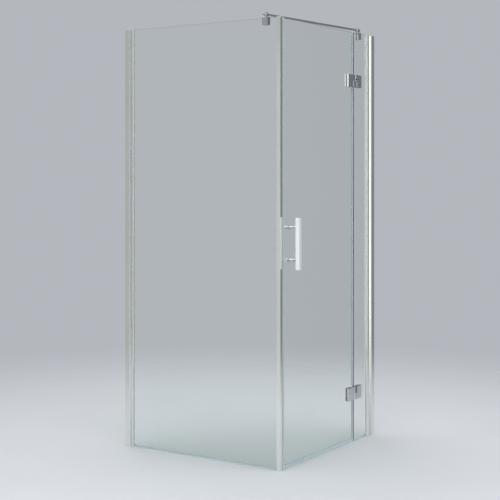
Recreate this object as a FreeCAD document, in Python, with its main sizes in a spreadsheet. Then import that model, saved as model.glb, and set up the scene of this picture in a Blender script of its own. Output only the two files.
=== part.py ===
"""Frameless corner shower enclosure with a glass door hung on an inline pane.

Millimetres, +Z up.  The origin is the foot of the corner post, where the glass
lines of the door and of the side pane cross.  The door and its inline pane run
along +X to one wall, the side pane runs along +Y to the other, and the door
opens towards -Y.
"""
import FreeCAD, Part
import os
import re
import Sketcher
from FreeCAD import Placement, Rotation, Vector

# ---------------------------------------------------------------- sizes
# Each size that can be set by itself, in millimetres.
SIZES = {
    # whole enclosure
    "height": 2000,          # base to the top of the profile caps
    "door_run": 865,         # corner to wall along the door
    "side_run": 865,         # corner to wall along the side pane
    "glass_thick": 8,
    "glass_arris": 0.7,      # ground edge of each pane
    "pane_lift": 3,          # fixed panes above the base
    "door_lift": 12,         # door pane above the base
    "strip_lift": 1.5,       # soft strips above the base
    "cap_thick": 2,
    "plug_deep": 12,         # tongue of a cap or foot inside its profile
    "plug_gap": 0.3,         # that tongue to the profile around it
    "piece_gap": 0.3,        # between two strips that meet end to end
    # wall channels
    "channel_deep": 30,
    "channel_wide": 34,
    "channel_wall": 2.2,
    "channel_radius": 2,     # its outer corners
    "wall_hole_dia": 7,
    "wall_hole_low": 150,    # lowest wall hole above the base
    "wall_hole_count": 3,
    # profiles that hold the glass and slide in the channels
    "head_wide": 18,
    "head_wall": 1.5,
    "pocket_deep": 16,
    "glass_bite": 14,        # glass inside the pocket
    "pullout_door": 28,      # profile that shows outside the channel, door run
    "pullout_side": 10,      # the same on the side run
    "slide_gap": 0.3,
    "gasket_lip": 0.8,
    "gasket_long": 10,
    "fit_gap": 0.05,         # screw, pin or bush in its bore
    # corner post
    "post_wide": 17,
    "post_front": 6.5,       # door glass line to the front of the post
    "post_back": 4.5,        # door glass line to the back of its box
    "post_leg": 9,           # legs that grip the side pane
    "pane_seat_gap": 0.5,    # side pane to the back of the box
    "post_wall": 1.5,
    "post_gasket": 2,
    "post_radius": 1,
    "groove_lip": 1.2,       # lips of the groove for the strike seal
    "groove_deep": 2,
    "foot_wide": 6.2,        # foot of the strike seal
    "neck_wide": 3.4,        # neck of the strike seal
    "clip_gap": 0.1,
    # magnetic seals
    "strike_deep": 4,        # head of the strike seal
    "strike_wide": 9,
    "seal_wall": 1,
    "magnet_wide": 6,
    "magnet_gap": 0.1,
    "close_gap": 0.5,        # between the two magnetic seals
    "nose_deep": 4.5,        # head of the door's closing seal
    "seal_grip": 9,          # legs of a clip-on strip over the glass
    # other strips on the glass
    "inline_show": 134,      # inline pane between the door and its profile
    "edge_gap": 9,           # door pane to inline pane
    "lip_short": 0.5,        # lip of the hinge side seal to the inline pane
    "lip_thick": 1,
    "drip_out": 9,           # drip fin of the bottom seal
    "drip_drop": 6,
    "seat_leg": 6,           # legs of a seat seal up the glass
    # hinges
    "hinge_inset": 239,      # hinge centres from base and top
    "hinge_high": 62,
    "plate_set": 21,         # pin to the near edge of a plate
    "plate_wide": 44.5,
    "plate_thick": 10,
    "plate_edge": 1,         # chamfer around its front
    "pad_thick": 1,
    "back_thick": 5,
    "barrel_dia": 16,
    "barrel_floor": 3,
    "pin_dia": 8,
    "pin_end_gap": 0.7,
    "bush_dia": 11,
    "flange_dia": 15,
    "flange_thick": 1,
    "turn_gap": 0.3,         # flange to the knuckle below it
    "notch_gap": 1.5,        # knuckles to the notch in the glass
    "notch_radius": 2,
    "clamp_offset": 17,      # clamp screws above and below the hinge centre
    "clamp_dia": 6,
    "clamp_reach": 7,        # clamp screw inside the plate
    "clamp_room": 4,         # clamp screw to the hole in the glass
    "slot_gap": 0.3,         # clamp screw to the slots in the pads
    # handle
    "handle_inset": 53,      # closing edge of the pane to the handle
    "handle_mid": 997,
    "handle_long": 230,
    "handle_side": 20,
    "handle_edge": 1,
    "post_spacing": 145,     # between the two posts of the bar
    "post_long": 38,         # glass to bar
    "post_dia": 12,
    "stud_dia": 6,
    "stud_hole_dia": 12,     # hole in the glass
    "stud_inner": 5,         # stud beyond the inner face of the glass
    "knob_long": 28,
    "knob_dia": 13,
    "knob_waist": 9,
    "knob_base": 6,          # knob up to its waist
    "waist_long": 7,
    "inner_cap_dia": 14,
    "inner_cap_long": 7,
    # stabiliser
    "bar_dia": 10,
    "bar_rise": 16,          # top of the glass to the middle of the bar
    "bar_over": 20,          # bar beyond the middle of each clamp
    "bar_edge": 1,
    "clamp_at_side": 72,     # corner to the clamp on the side pane
    "clamp_inset": 44,       # inline pane's free edge to its clamp
    "clamp_long": 29,
    "clamp_drop": 31,        # jaws below the top of the glass
    "clamp_bridge": 3.5,
    "clamp_seat_gap": 0.3,
    "jaw_thick": 9,
    "clamp_edge": 0.8,
    "grip_pad": 1,
    "grip_pad_high": 22,
    "grip_pad_drop": 17,     # middle of the pad under the top edge of the glass
    "collar_dia": 18,
    "collar_long": 14,
    "neck_dia": 8,
}

# What follows from them.
LAYOUT = {
    "half_glass": "glass_thick / 2",
    "pane_top": "height - cap_thick",
    "half_channel": "channel_wide / 2",
    "half_head": "head_wide / 2",
    "half_pocket": "half_head - head_wall",
    "half_slider": "half_channel - channel_wall - slide_gap",
    "head_long": "pullout_door + channel_wall + slide_gap",
    "slider_long": "channel_deep - 2 * (channel_wall + slide_gap) - (pullout_door - pullout_side)",
    "half_post": "post_wide / 2",
    "half_post_pocket": "half_glass + post_gasket",
    "half_leg": "half_post_pocket + post_wall",
    "groove_mouth": "half_post - groove_lip",
    "groove_floor": "groove_mouth - groove_deep",
    "post_end": "post_back + post_leg",
    "strike_face": "half_post + strike_deep",
    "nose_face": "strike_face + close_gap",
    "door_start": "nose_face + nose_deep",
    "inline_end": "door_run - channel_deep - pullout_door",
    "side_end": "side_run - channel_deep - pullout_side",
    "inline_start": "inline_end - inline_show",
    "door_end": "inline_start - edge_gap",
    "pin_x": "door_end + edge_gap / 2",
    "pin_y": "-half_glass - pad_thick",
    "barrel_half": "barrel_dia / 2",
    "hinge_half": "hinge_high / 2",
    "low_hinge": "hinge_inset",
    "high_hinge": "height - hinge_inset",
    "turn_half": "(flange_thick + turn_gap) / 2",
    "pin_low": "hinge_half - barrel_floor",
    "plate_far": "plate_set + plate_wide",
    "plate_mid": "plate_set + plate_wide / 2",
    "pad_back": "2 * pad_thick + glass_thick",
    "notch_half": "hinge_half + notch_gap",
    "notch_reach": "barrel_half + notch_gap",
    "clamp_hole_dia": "clamp_dia + 2 * clamp_room",
    "clip_half": "half_glass + seal_wall",
    "handle_x": "door_start + handle_inset",
    "handle_back": "half_glass + post_long",
    "low_post": "handle_mid - post_spacing / 2",
    "high_post": "handle_mid + post_spacing / 2",
    "wall_hole_pitch": "(height - 2 * wall_hole_low) / (wall_hole_count - 1)",
    "clamp_at_inline": "inline_start + clamp_inset",
    "bar_high": "pane_top + bar_rise",
    "bar_span": "sqrt(clamp_at_side * clamp_at_side + clamp_at_inline * clamp_at_inline)",
    "bar_turn": "-atan(clamp_at_side / clamp_at_inline)",
    "jaw_inner": "half_glass + grip_pad",
    "jaw_outer": "jaw_inner + jaw_thick",
    "neck_long": "bar_rise - clamp_bridge",
}

# ---------------------------------------------------------------- document
doc = FreeCAD.newDocument("shower_door")


def formula(text):
    """The same formula with each name given its sheet."""
    def named(match):
        word = match.group(0)
        if word in SIZES:
            return "Sizes." + word
        return "Layout." + word if word in LAYOUT else word
    return re.sub(r"[a-z]+(?:_[a-z]+)*", named, text)


def fill_sheet(sheet_name, cells, write):
    sheet = doc.addObject("Spreadsheet::Sheet", sheet_name)
    for row, (name, content) in enumerate(cells.items(), 1):
        sheet.set(f"A{row}", name)
        sheet.set(f"B{row}", write(content))
        sheet.setAlias(f"B{row}", name)
    doc.recompute()
    return sheet


sizes = fill_sheet("Sizes", SIZES, str)
layout = fill_sheet("Layout", LAYOUT, lambda text: "=" + formula(text))


def value(text):
    """What a formula comes to, as a plain number."""
    result = sizes.evalExpression(formula(text))
    return float(getattr(result, "Value", result))


# ---------------------------------------------------------------- building steps
NO_TURN = Rotation()
QUARTER = Rotation(Vector(0, 0, 1), 90)       # door run's frame turned onto the side run
ALONG_X = Rotation(Vector(1, 1, 1), 120)      # a cross-section that is padded along +X
OUTWARDS = Rotation(Vector(1, 0, 0), 90)      # local Z faces -Y, local Y goes up
INWARDS = Rotation(Vector(0, 1, 1), 180)      # local Z faces +Y, local Y goes up

pieces = []


def new_body(label, at=("0", "0", "0"), turn=NO_TURN, grouped=False):
    """A body with its own label, placed by formulas; a grouped one goes into a group."""
    body = doc.addObject("PartDesign::Body", label)
    body.Label = label
    body.AllowCompound = True
    body.Placement = Placement(Vector(*(value(text) for text in at)), turn)
    for axis, text in zip("xyz", at):
        body.setExpression(f"Placement.Base.{axis}", formula(text))
    if not grouped:
        pieces.append(body)
    return body


def group(label, members):
    """Like pieces of both sides under one label, each still its own solid."""
    together = doc.addObject("Part::Compound", label)
    together.Label = label
    together.Links = members
    pieces.append(together)


def origin_part(body, role):
    return next(part for part in body.Origin.OriginFeatures if part.Role == role)


def new_sketch(body, plane, name):
    sketch = body.newObject("Sketcher::SketchObject", name)
    sketch.AttachmentSupport = (origin_part(body, plane + "_Plane"), [""])
    sketch.MapMode = "FlatFace"
    return sketch


def fix(sketch, kind, geometry, point, text, name):
    """A dimension from the sketch's origin, or a radius, bound to a formula."""
    if kind == "Radius":
        index = sketch.addConstraint(Sketcher.Constraint(kind, geometry, value(text)))
    else:
        index = sketch.addConstraint(
            Sketcher.Constraint(kind, -1, 1, geometry, point, value(text)))
    sketch.renameConstraint(index, name)
    sketch.setExpression(f"Constraints.{name}", formula(text))


def outline(body, plane, name, *loops):
    """A sketch of closed outlines; each corner is a pair of formulas."""
    sketch = new_sketch(body, plane, name)
    for loop in loops:
        first = sketch.GeometryCount
        count = len(loop)
        corners = [Vector(value(x), value(y), 0) for x, y in loop]
        for i in range(count):
            sketch.addGeometry(Part.LineSegment(corners[i], corners[(i + 1) % count]))
        for i, (x, y) in enumerate(loop):
            line = first + i
            after = first + (i + 1) % count
            sketch.addConstraint(Sketcher.Constraint("Coincident", line, 2, after, 1))
            fix(sketch, "DistanceX", line, 1, x, f"across{line}")
            fix(sketch, "DistanceY", line, 1, y, f"up{line}")
    return sketch


def circles(body, plane, name, *discs):
    """A sketch of circles; each is the formulas of its centre and diameter."""
    sketch = new_sketch(body, plane, name)
    for x, y, diameter in discs:
        centre = Vector(value(x), value(y), 0)
        radius = f"({diameter}) / 2"
        disc = sketch.addGeometry(Part.Circle(centre, Vector(0, 0, 1), value(radius)))
        fix(sketch, "DistanceX", disc, 3, x, f"across{disc}")
        fix(sketch, "DistanceY", disc, 3, y, f"up{disc}")
        fix(sketch, "Radius", disc, 0, radius, f"round{disc}")
    return sketch


def pad(body, sketch, length, middle=False, start="0"):
    """Material from a sketch, or from a plane raised above it."""
    sketch.setExpression("AttachmentOffset.Base.z", formula(start))
    feature = body.newObject("PartDesign::Pad", "Pad")
    feature.Profile = sketch
    feature.Midplane = middle
    feature.setExpression("Length", formula(length))
    doc.recompute()
    return feature


def cut(body, sketch, length, towards_normal=False, middle=False, start="0"):
    """A pocket; without towards_normal it goes down from the sketch."""
    before = body.Shape.Volume
    sketch.setExpression("AttachmentOffset.Base.z", formula(start))
    feature = body.newObject("PartDesign::Pocket", "Pocket")
    feature.Profile = sketch
    feature.Reversed = towards_normal
    feature.Midplane = middle
    feature.setExpression("Length", formula(length))
    doc.recompute()
    if body.Shape.Volume >= before:
        raise RuntimeError(f"a pocket in {body.Label} removes nothing")
    return feature


def turned(body, *half_section):
    """A turned piece about its own Z; each point is (radius, height)."""
    sketch = outline(body, "XZ", "half_section", half_section)
    feature = body.newObject("PartDesign::Revolution", "Revolution")
    feature.Profile = sketch
    feature.ReferenceAxis = (sketch, ["V_Axis"])
    feature.Angle = 360
    doc.recompute()
    return feature


def repeat(body, feature, axis, pitch, count):
    """Equal copies of a feature along one of the body's axes."""
    pattern = body.newObject("PartDesign::LinearPattern", "LinearPattern")
    pattern.Originals = [feature]
    pattern.Direction = (origin_part(body, axis + "_Axis"), [""])
    pattern.Mode = "Spacing"
    pattern.setExpression("Offset", formula(pitch))
    pattern.setExpression("Occurrences", formula(count))
    body.Tip = pattern
    doc.recompute()
    return pattern


def edge_names(shape, wanted):
    return [f"Edge{i}" for i, edge in enumerate(shape.Edges, 1) if wanted(edge)]


def ease(body, kind, size, wanted):
    """A fillet or chamfer on the edges that wanted picks."""
    base = body.Tip
    feature = body.newObject("PartDesign::" + kind, kind)
    feature.Base = (base, edge_names(base.Shape, wanted))
    feature.setExpression("Radius" if kind == "Fillet" else "Size", formula(size))
    doc.recompute()
    return feature


def lies_at(axis, *texts):
    """Picks edges whose every point has that coordinate."""
    places = [value(text) for text in texts]

    def wanted(edge):
        box = edge.BoundBox
        low, high = {"x": (box.XMin, box.XMax), "y": (box.YMin, box.YMax),
                     "z": (box.ZMin, box.ZMax)}[axis]
        return any(abs(low - place) < 0.01 and abs(high - place) < 0.01 for place in places)
    return wanted


def all_of(*tests):
    return lambda edge: all(test(edge) for test in tests)


def both_sides(*half):
    """The half outline, then its mirror image, from end to start."""
    return [*half, *((x, f"-({y})") for x, y in reversed(half))]


def box_loop(x_low, y_low, x_high, y_high):
    return [(x_low, y_low), (x_high, y_low), (x_high, y_high), (x_low, y_high)]


# ---------------------------------------------------------------- the two wall runs
class Run:
    """One wall run, drawn with the wall at x = 0 and the glass coming from -x along y = 0."""

    def __init__(self, name, reach, turn, pullout):
        self.name = name
        self.reach = reach
        self.turn = turn
        self.end = f"(-channel_deep - {pullout})"
        self.slider = f"({self.end} + head_long)"

    def body(self, part, bottom="0"):
        place = ("0", self.reach) if self.turn is QUARTER else (self.reach, "0")
        return new_body(f"{part}_{self.name}", (*place, bottom), self.turn)


RUNS = (Run("door", "door_run", NO_TURN, "pullout_door"),
        Run("side", "side_run", QUARTER, "pullout_side"))


def wall_channel(run):
    """C-shaped extrusion, screwed to the wall through its web."""
    body = run.body("wall_channel")
    section = outline(body, "XY", "section", both_sides(
        ("0", "half_channel"),
        ("-channel_deep", "half_channel"),
        ("-channel_deep", "half_head + slide_gap"),
        ("-channel_deep + channel_wall", "half_head + slide_gap"),
        ("-channel_deep + channel_wall", "half_channel - channel_wall"),
        ("-channel_wall", "half_channel - channel_wall")))
    pad(body, section, "pane_top")
    ease(body, "Fillet", "channel_radius", all_of(
        lies_at("x", "-channel_deep"), lies_at("y", "half_channel", "-half_channel")))
    wall_hole = circles(body, "YZ", "wall_hole", ("0", "wall_hole_low", "wall_hole_dia"))
    hole = cut(body, wall_hole, "2 * channel_wall")
    repeat(body, hole, "Z", "wall_hole_pitch", "wall_hole_count")


def glazing_profile(run):
    """Glass pocket in front, two sliders behind it that stay inside the channel."""
    body = run.body("glazing_profile")
    section = outline(body, "XY", "section", both_sides(
        (f"{run.end} + pocket_deep", "half_pocket"),
        (run.end, "half_pocket"),
        (run.end, "half_head"),
        (run.slider, "half_head"),
        (run.slider, "half_slider"),
        (f"{run.slider} + slider_long", "half_slider"),
        (f"{run.slider} + slider_long", "half_slider - head_wall"),
        (f"{run.slider} + head_wall", "half_slider - head_wall"),
        (f"{run.slider} + head_wall", "half_pocket"),
        (f"{run.end} + pocket_deep + head_wall", "half_pocket")))
    pad(body, section, "pane_top")


def glazing_gaskets(run):
    body = run.body("glazing_gaskets", "pane_lift")
    wedge = [(f"{run.end} - gasket_lip", "half_glass"),
             (f"{run.end} + gasket_long", "half_glass"),
             (f"{run.end} + gasket_long", "half_pocket - gasket_lip"),
             (f"{run.end} + gasket_long / 2", "half_pocket"),
             (run.end, "half_pocket"),
             (f"{run.end} - gasket_lip", "(half_glass + half_pocket) / 2")]
    section = outline(body, "XY", "section", wedge, [(x, f"-({y})") for x, y in wedge])
    pad(body, section, "pane_top - pane_lift")


def channel_cap(run):
    """Plug that closes channel and glazing profile at the top."""
    body = run.body("channel_cap", "pane_top")
    lid = outline(body, "XY", "lid", both_sides(
        ("0", "half_channel"),
        ("-channel_deep", "half_channel"),
        ("-channel_deep", "half_head"),
        (run.end, "half_head")))
    pad(body, lid, "cap_thick")
    ease(body, "Fillet", "channel_radius", all_of(
        lies_at("x", "-channel_deep"), lies_at("y", "half_channel", "-half_channel")))
    tongue = outline(body, "XY", "tongue", box_loop(
        f"{run.end} + pocket_deep + head_wall + plug_gap", "-half_pocket + plug_gap",
        "-channel_wall - plug_gap", "half_pocket - plug_gap"))
    pad(body, tongue, "plug_deep", start="-plug_deep")


# ---------------------------------------------------------------- the panes
HINGE_HEIGHTS = ("low_hinge", "high_hinge")


def pane(label, x_low, z_low, x_high, turn=NO_TURN):
    """A glass pane with its ground edges."""
    body = new_body(label, turn=turn)
    front = outline(body, "XZ", "front", box_loop(x_low, z_low, x_high, "pane_top"))
    pad(body, front, "glass_thick", middle=True)
    ease(body, "Chamfer", "glass_arris", lies_at("y", "half_glass", "-half_glass"))
    return body


def cut_for_hinges(body, edge, sign):
    """Rounded notches in the hinge edge, and holes for the clamp screws."""
    notch_x = f"pin_x + {sign} * notch_reach"
    notches = outline(body, "XZ", "notches", *(
        box_loop(edge, f"{hinge} - notch_half", notch_x, f"{hinge} + notch_half")
        for hinge in HINGE_HEIGHTS))
    cut(body, notches, "2 * glass_thick", middle=True)
    ends = [f"{hinge} {way} notch_half" for hinge in HINGE_HEIGHTS for way in "-+"]
    ease(body, "Fillet", "notch_radius", all_of(lies_at("x", notch_x), lies_at("z", *ends)))
    drill_pane(body, "clamp_holes", "clamp_hole_dia", [
        (f"pin_x + {sign} * plate_mid", f"{hinge} {way} clamp_offset")
        for hinge in HINGE_HEIGHTS for way in "-+"])


def drill_pane(body, name, diameter, spots):
    holes = circles(body, "XZ", name, *((x, z, diameter) for x, z in spots))
    cut(body, holes, "2 * glass_thick", middle=True)


def panes():
    door = pane("door_glass", "door_start", "door_lift", "door_end")
    cut_for_hinges(door, "door_end", -1)
    drill_pane(door, "handle_holes", "stud_hole_dia",
               [("handle_x", "low_post"), ("handle_x", "high_post")])
    inline = pane("inline_glass", "inline_start", "pane_lift", "inline_end + glass_bite")
    cut_for_hinges(inline, "inline_start", 1)
    pane("side_glass", "post_back + pane_seat_gap", "pane_lift", "side_end + glass_bite",
         QUARTER)


def seat_section(body):
    return outline(body, "XY", "section", [
        ("half_glass", "pane_lift + seat_leg"), ("half_glass", "pane_lift"),
        ("-half_glass", "pane_lift"), ("-half_glass", "pane_lift + seat_leg"),
        ("-clip_half", "pane_lift + seat_leg"), ("-clip_half", "0"),
        ("clip_half", "0"), ("clip_half", "pane_lift + seat_leg")])


def seat_seals():
    """Clear channels that the fixed panes stand in."""
    inline = new_body("inline_seat_seal", ("inline_start", "0", "0"), ALONG_X)
    pad(inline, seat_section(inline), "inline_end - gasket_lip - piece_gap - inline_start")
    side = new_body("side_seat_seal", ("0", "side_end - gasket_lip - piece_gap", "0"), OUTWARDS)
    pad(side, seat_section(side),
        "side_end - post_end - 2 * (gasket_lip + piece_gap)")


# ---------------------------------------------------------------- the corner post
def post_outline():
    return [("-half_post", "-post_front"), ("half_post", "-post_front"),
            ("half_post", "post_back"), ("half_leg", "post_back"),
            ("half_leg", "post_end"), ("-half_leg", "post_end"),
            ("-half_leg", "post_back"), ("-half_post", "post_back")]


def post_hollow(gap="0"):
    return box_loop(f"-half_post + post_wall + {gap}", f"-post_front + post_wall + {gap}",
                    f"groove_floor - post_wall - {gap}", f"post_back - post_wall - {gap}")


def corner_profile():
    """Box extrusion with a groove for the strike seal and a pocket for the side pane."""
    body = new_body("corner_profile", ("0", "0", "pane_lift"))
    mouth = "(neck_wide / 2 + clip_gap)"
    chamber = "(foot_wide / 2 + clip_gap)"
    edge = [("-half_post", "-post_front"), ("half_post", "-post_front"),
            ("half_post", f"-{mouth}"), ("groove_mouth", f"-{mouth}"),
            ("groove_mouth", f"-{chamber}"), ("groove_floor", f"-{chamber}"),
            ("groove_floor", chamber), ("groove_mouth", chamber),
            ("groove_mouth", mouth), ("half_post", mouth),
            ("half_post", "post_back"), ("half_leg", "post_back"),
            ("half_leg", "post_end"), ("half_post_pocket", "post_end"),
            ("half_post_pocket", "post_back"), ("-half_post_pocket", "post_back"),
            ("-half_post_pocket", "post_end"), ("-half_leg", "post_end"),
            ("-half_leg", "post_back"), ("-half_post", "post_back")]
    pad(body, outline(body, "XY", "section", edge, post_hollow()), "pane_top - pane_lift")
    ease(body, "Fillet", "post_radius", all_of(
        lies_at("x", "half_post", "-half_post"), lies_at("y", "-post_front")))


def corner_ends():
    """The foot that the post stands on and the cap that closes it."""
    foot = new_body("corner_foot")
    pad(foot, outline(foot, "XY", "plate", post_outline()), "pane_lift")
    tongue = outline(foot, "XY", "tongue", post_hollow("plug_gap"))
    pad(foot, tongue, "plug_deep", start="pane_lift")
    cap = new_body("corner_cap", ("0", "0", "pane_top"))
    pad(cap, outline(cap, "XY", "plate", post_outline()), "cap_thick")
    tongue = outline(cap, "XY", "tongue", post_hollow("plug_gap"))
    pad(cap, tongue, "plug_deep", start="-plug_deep")
    for body in (foot, cap):
        ease(body, "Fillet", "post_radius", all_of(
            lies_at("x", "half_post", "-half_post"), lies_at("y", "-post_front")))


def corner_gaskets():
    body = new_body("corner_gaskets", ("0", "0", "pane_lift"))
    wedge = [("half_glass", "post_back + gasket_lip"),
             ("half_post_pocket", "post_back + gasket_lip"),
             ("half_post_pocket", "post_end"),
             ("half_post_pocket - post_gasket / 2", "post_end + gasket_lip"),
             ("half_glass", "post_end + gasket_lip")]
    section = outline(body, "XY", "section", wedge, [(f"-({x})", y) for x, y in wedge])
    pad(body, section, "pane_top - pane_lift")


def magnet_pocket(x_low, x_high):
    half = "(magnet_wide / 2 + magnet_gap)"
    return box_loop(x_low, f"-{half}", x_high, half)


def magnet(label, x_low, x_high, bottom):
    body = new_body(label, ("0", "0", f"{bottom} + seal_wall"))
    bar = box_loop(f"{x_low} + magnet_gap", "-magnet_wide / 2",
                   f"{x_high} - magnet_gap", "magnet_wide / 2")
    pad(body, outline(body, "XY", "section", bar), f"pane_top - {bottom} - 2 * seal_wall")


def strike_seal():
    """Clear strip clipped into the post's groove, with its magnet inside."""
    body = new_body("strike_seal", ("0", "0", "pane_lift"))
    edge = both_sides(("groove_floor + clip_gap", "foot_wide / 2"),
                      ("groove_mouth - clip_gap", "foot_wide / 2"),
                      ("groove_mouth - clip_gap", "neck_wide / 2"),
                      ("half_post", "neck_wide / 2"),
                      ("half_post", "strike_wide / 2"),
                      ("strike_face", "strike_wide / 2"))
    hold = ("half_post + seal_wall", "strike_face - seal_wall")
    pad(body, outline(body, "XY", "section", edge, magnet_pocket(*hold)),
        "pane_top - pane_lift")
    magnet("strike_magnet", *hold, "pane_lift")


# ---------------------------------------------------------------- strips on the door pane
def closing_seal():
    """Clear strip on the door's closing edge; its magnet meets the one on the post."""
    body = new_body("door_closing_seal", ("0", "0", "strip_lift"))
    edge = [("nose_face", "-clip_half"), ("door_start + seal_grip", "-clip_half"),
            ("door_start + seal_grip", "-half_glass"), ("door_start", "-half_glass"),
            ("door_start", "half_glass"), ("door_start + seal_grip", "half_glass"),
            ("door_start + seal_grip", "clip_half"), ("nose_face", "clip_half")]
    hold = ("nose_face + seal_wall", "door_start - seal_wall")
    pad(body, outline(body, "XY", "section", edge, magnet_pocket(*hold)),
        "pane_top - strip_lift")
    magnet("door_magnet", *hold, "strip_lift")


def hinge_side_seals():
    """Clear strips on the door's hinge edge, cut away at the hinges."""
    body = new_body("hinge_side_seals")
    spans = [("strip_lift", "low_hinge - notch_half"),
             ("low_hinge + notch_half", "high_hinge - notch_half"),
             ("high_hinge + notch_half", "pane_top")]
    for number, (bottom, top) in enumerate(spans, 1):
        section = outline(body, "XY", f"section_{number}", [
            ("door_end - seal_grip", "half_glass"), ("door_end - seal_grip", "clip_half"),
            ("inline_start - lip_short", "clip_half"),
            ("inline_start - lip_short", "clip_half - lip_thick"),
            ("door_end + seal_wall", "clip_half - lip_thick"),
            ("door_end + seal_wall", "-clip_half"), ("door_end - seal_grip", "-clip_half"),
            ("door_end - seal_grip", "-half_glass"), ("door_end", "-half_glass"),
            ("door_end", "half_glass")])
        pad(body, section, f"{top} - ({bottom})", start=bottom)


def bottom_seal():
    """Clear strip under the door: a wiper down to the base and a fin that drips inwards."""
    first = "(door_start + seal_grip + piece_gap)"
    last = "(door_end - seal_grip - piece_gap)"
    body = new_body("door_bottom_seal", (first, "0", "door_lift"), ALONG_X)
    section = outline(body, "XY", "section", [
        ("half_glass", "seal_grip"), ("half_glass", "0"),
        ("-half_glass", "0"), ("-half_glass", "seal_grip"),
        ("-clip_half", "seal_grip"), ("-clip_half", "-seal_wall"),
        ("-seal_wall / 2", "-seal_wall"), ("-seal_wall / 2", "strip_lift - door_lift"),
        ("seal_wall / 2", "strip_lift - door_lift"), ("seal_wall / 2", "-seal_wall"),
        ("half_glass", "-seal_wall"), ("clip_half + drip_out", "-seal_wall - drip_drop"),
        ("clip_half + drip_out", "-drip_drop"), ("clip_half", "0"),
        ("clip_half", "seal_grip")])
    pad(body, section, f"{last} - {first}")


# ---------------------------------------------------------------- the hinges
class Leaf:
    """One half of a hinge; sign is the side of the pin it reaches to."""

    def __init__(self, name, sign):
        self.name = name
        self.sign = sign
        self.near = f"{sign} * plate_set"
        self.middle = f"{sign} * plate_mid"
        self.far = f"{sign} * plate_far"
        self.screws = ((self.middle, "-clamp_offset"), (self.middle, "clamp_offset"))


class Hinge:
    """Drawn from its pin and its own middle, the backs of the front plates on y = 0."""

    def __init__(self, name, height):
        self.name = name
        self.height = height

    def body(self, part, grouped=False):
        return new_body(f"{self.name}_{part}", ("pin_x", "pin_y", self.height),
                        grouped=grouped)


LEAVES = (Leaf("frame", 1), Leaf("door", -1))
HINGES = (Hinge("lower_hinge", "low_hinge"), Hinge("upper_hinge", "high_hinge"))


def hinge_leaf(hinge, leaf):
    """Front plate with the arm and the knuckle that turns about the pin."""
    body = hinge.body(f"{leaf.name}_leaf")
    plate = outline(body, "XY", "plate", box_loop(leaf.near, "-plate_thick", leaf.far, "0"))
    pad(body, plate, "hinge_high", middle=True)
    ease(body, "Chamfer", "plate_edge", lies_at("y", "-plate_thick"))
    foot = "-hinge_half" if leaf.name == "frame" else "turn_half"
    tall = "hinge_half - turn_half"
    arm = outline(body, "XY", "arm", box_loop(
        "0", "-barrel_half", f"{leaf.near} + {leaf.sign} * plate_edge", "0"))
    pad(body, arm, tall, start=foot)
    pad(body, circles(body, "XY", "knuckle", ("0", "0", "barrel_dia")), tall, start=foot)
    if leaf.name == "frame":
        bore = circles(body, "XY", "pin_bore", ("0", "0", "pin_dia + 2 * fit_gap"))
        cut(body, bore, f"{tall} - barrel_floor", start="-turn_half")
    else:
        bore = circles(body, "XY", "bush_bore", ("0", "0", "bush_dia + 2 * fit_gap"))
        cut(body, bore, f"{tall} - barrel_floor", towards_normal=True, start="turn_half")
    threads = circles(body, "XZ", "threads",
                      *((x, z, "clamp_dia + 2 * fit_gap") for x, z in leaf.screws))
    cut(body, threads, "clamp_reach + fit_gap", towards_normal=True)


def hinge_backplate(hinge, leaf):
    """Flat plate on the shower side with the screws that reach into the front plate."""
    body = hinge.body(f"{leaf.name}_backplate")
    plate = outline(body, "XY", "plate", box_loop(
        leaf.near, "pad_back", leaf.far, "pad_back + back_thick"))
    pad(body, plate, "hinge_high", middle=True)
    ease(body, "Chamfer", "plate_edge", lies_at("y", "pad_back + back_thick"))
    screws = circles(body, "XZ", "screws", *((x, z, "clamp_dia") for x, z in leaf.screws))
    pad(body, screws, "back_thick / 2 + pad_back + clamp_reach",
        start="-(pad_back + back_thick / 2)")


def hinge_pads(hinge, leaf):
    """Soft sheets on both faces of the glass, slotted to slip over the screws."""
    body = hinge.body(f"{leaf.name}_pads")
    slot_half = "(clamp_dia / 2 + slot_gap)"
    slot_end = f"{leaf.middle} - {leaf.sign} * {slot_half}"
    edge = [(leaf.near, "-hinge_half"), (leaf.far, "-hinge_half")]
    for way in ("-", ""):
        low, high = f"{way}clamp_offset - {slot_half}", f"{way}clamp_offset + {slot_half}"
        edge += [(leaf.far, low), (slot_end, low), (slot_end, high), (leaf.far, high)]
    edge += [(leaf.far, "hinge_half"), (leaf.near, "hinge_half")]
    for name, back in (("front", "pad_thick"), ("rear", "pad_back")):
        sheet = outline(body, "XZ", f"{name}_sheet", edge)
        pad(body, sheet, "pad_thick", start=f"-{back}")


def hinge_pin(hinge):
    """Plain steel pin that stands in the frame's knuckle."""
    body = hinge.body("pin", grouped=True)
    pad(body, circles(body, "XY", "round", ("0", "0", "pin_dia")),
        "2 * pin_low - pin_end_gap", start="-pin_low")
    return body


def hinge_bush(hinge):
    """Flanged bush in the door's knuckle; its flange runs over the frame's knuckle."""
    body = hinge.body("bush", grouped=True)
    turned(body,
           ("pin_dia / 2 + fit_gap", "turn_gap - turn_half"),
           ("flange_dia / 2", "turn_gap - turn_half"),
           ("flange_dia / 2", "turn_half"),
           ("bush_dia / 2", "turn_half"),
           ("bush_dia / 2", "pin_low - pin_end_gap"),
           ("pin_dia / 2 + fit_gap", "pin_low - pin_end_gap"))
    return body


# ---------------------------------------------------------------- the handle
def handle_bar():
    body = new_body("handle_bar", ("handle_x", "-handle_back", "handle_mid"))
    square = outline(body, "XY", "square", box_loop(
        "-handle_side / 2", "-handle_side", "handle_side / 2", "0"))
    pad(body, square, "handle_long", middle=True)
    ease(body, "Chamfer", "handle_edge", lambda edge: True)


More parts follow.
